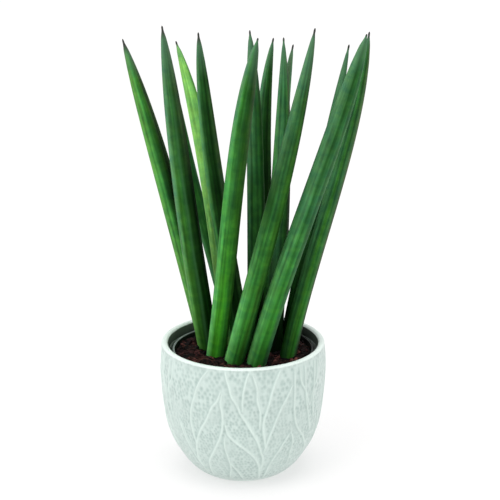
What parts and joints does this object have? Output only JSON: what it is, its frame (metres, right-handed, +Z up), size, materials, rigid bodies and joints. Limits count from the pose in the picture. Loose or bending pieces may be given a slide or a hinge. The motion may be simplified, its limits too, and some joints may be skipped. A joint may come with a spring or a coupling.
{
  "type": "potted snake plant",
  "caption": "Snake plant with tall round spear-shaped leaves standing in bark mix, in a thin grower's pot inside a rounded, pale glazed pot with raised leaf-vein relief.",
  "frame": {"origin": "centre of the glazed pot's flat foot, on the surface it stands on", "axes": "+Z up along the pot's axis; the side seen in front faces -Y, with +X to its right"},
  "size_m": [0.2003, 0.165, 0.392],
  "materials": {
    "aqua_glaze": "pale aqua satin glaze over raised vein relief and fine dimples, whiter on the rim",
    "grower_plastic": "thin dark grey-green moulded plastic, matt",
    "bark_mix": "damp dark red-brown bark and coir chips, coarse",
    "leaf_bright": "living leaf, yellow-green with fine darker lengthways lines and faint cross bands, waxy",
    "leaf_blue_green": "living leaf, grey to blue green with fine lengthways grooves and faint cross bands, waxy",
    "leaf_deep": "living leaf, deep green with fine lengthways grooves, waxy"
  },
  "bodies": {
    "root": {"ceramic_pot": "aqua_glaze", "nursery_pot": "grower_plastic", "potting_mix": "bark_mix", "leaf_01": "leaf_bright", "leaf_02": "leaf_blue_green", "leaf_03": "leaf_bright", "leaf_04": "leaf_deep", "leaf_05": "leaf_deep", "leaf_06": "leaf_bright", "leaf_07": "leaf_deep", "leaf_08": "leaf_blue_green", "leaf_09": "leaf_deep", "leaf_10": "leaf_blue_green", "leaf_11": "leaf_blue_green", "leaf_12": "leaf_blue_green", "leaf_13": "leaf_deep", "leaf_14": "leaf_deep"}
  },
  "joints": []
}
